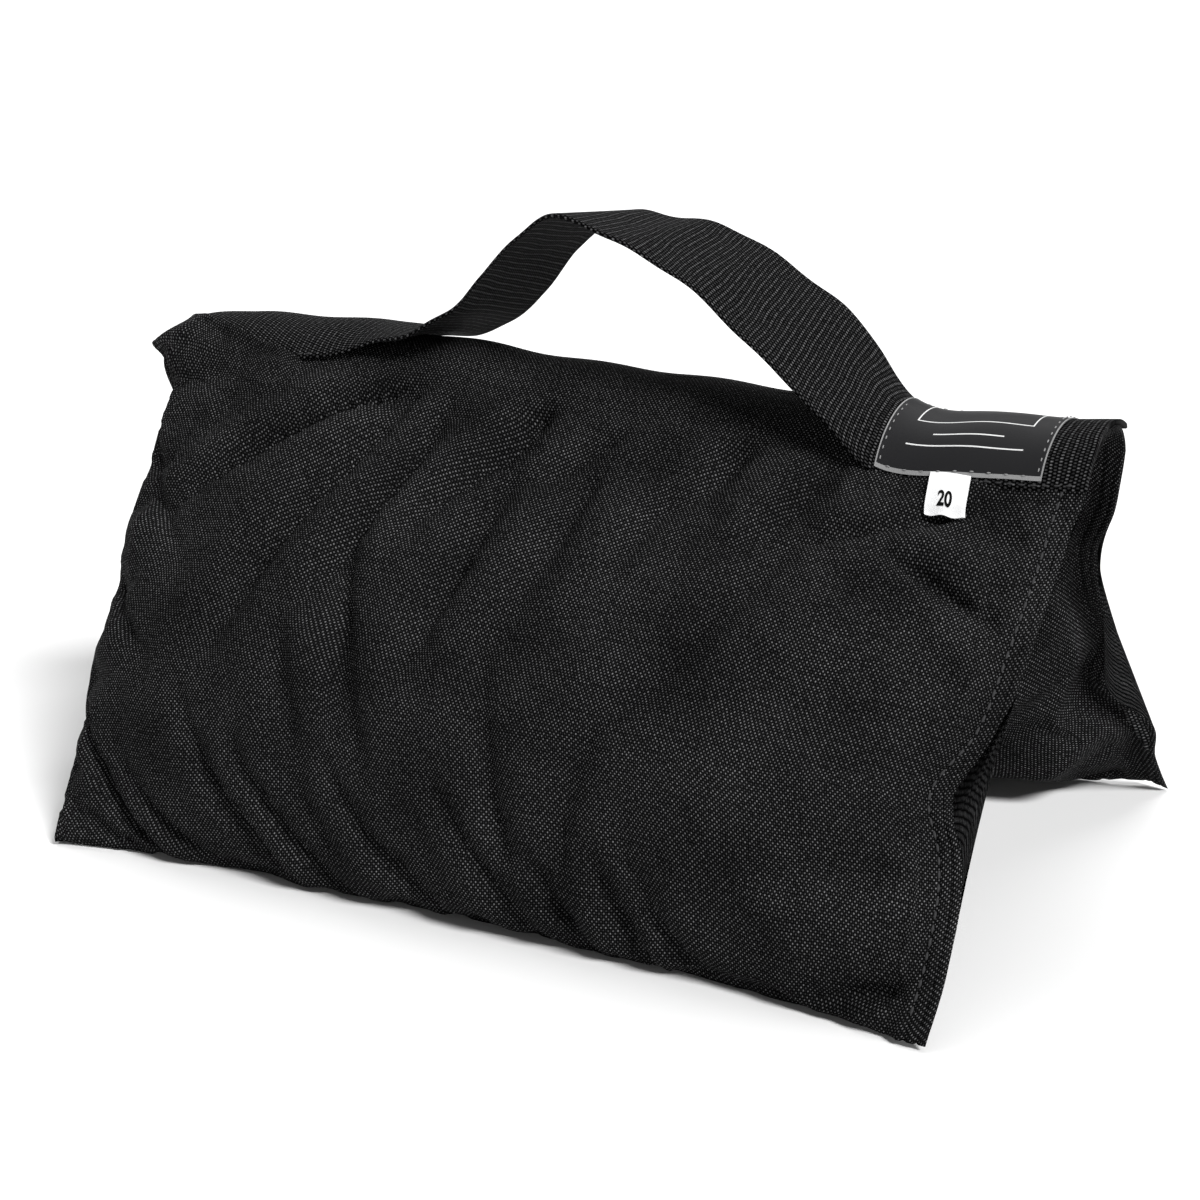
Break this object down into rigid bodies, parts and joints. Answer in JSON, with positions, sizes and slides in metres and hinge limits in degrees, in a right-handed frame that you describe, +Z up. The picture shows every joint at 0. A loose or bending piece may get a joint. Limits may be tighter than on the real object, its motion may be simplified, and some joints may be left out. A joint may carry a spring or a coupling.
{
  "type": "saddle sandbag",
  "caption": "Saddle-style studio sandbag: two sand-filled cloth pouches hinged over a ridge, with a webbing carry handle along the top.",
  "frame": {"origin": "under the middle of the bag, on the surface it stands on", "axes": "+X along the ridge towards the label end, +Y from the front pouch (with the weight tag) to the rear pouch, +Z up"},
  "size_m": [0.426, 0.262, 0.2431],
  "materials": {
    "cordura": "matte",
    "webbing": "matte",
    "thread": "satin",
    "label": "satin",
    "tag": "satin",
    "liner": "satin",
    "sand": "matte"
  },
  "bodies": {
    "saddle": {"ridge_cloth": "cordura", "webbing_left": "webbing", "webbing_right": "webbing", "webbing_stitching_left": "thread", "webbing_stitching_right": "thread", "label": "label", "label_stitching": "thread"},
    "front_pouch": {"front_outer_panel": "cordura", "front_inner_panel": "cordura", "front_liner": "liner", "front_sand": "sand", "front_topstitch_left": "thread", "front_topstitch_right": "thread"},
    "rear_pouch": {"rear_outer_panel": "cordura", "rear_inner_panel": "cordura", "rear_liner": "liner", "rear_sand": "sand", "rear_topstitch_left": "thread", "rear_topstitch_right": "thread"},
    "handle": {"handle_webbing": "webbing"},
    "tag": {"weight_tag": "tag"}
  },
  "joints": [
    {"name": "front_pouch_swing", "type": "hinge", "parent": "saddle", "child": "front_pouch", "pos_m": [0, -0.02283, 0.1752], "axis": [-1, 0, 0], "range_deg": [-13, 58]},
    {"name": "rear_pouch_swing", "type": "hinge", "parent": "saddle", "child": "rear_pouch", "pos_m": [0, 0.02283, 0.1752], "axis": [1, 0, 0], "range_deg": [-13, 58]},
    {"name": "handle_flop", "type": "hinge", "parent": "saddle", "child": "handle", "pos_m": [0.026, 0, 0.19], "axis": [1, 0, 0], "range_deg": [-40, 30]},
    {"name": "tag_flap", "type": "hinge", "parent": "front_pouch", "child": "tag", "pos_m": [0.162, -0.02901, 0.17232], "axis": [-1, 0, 0], "range_deg": [0, 70]}
  ]
}
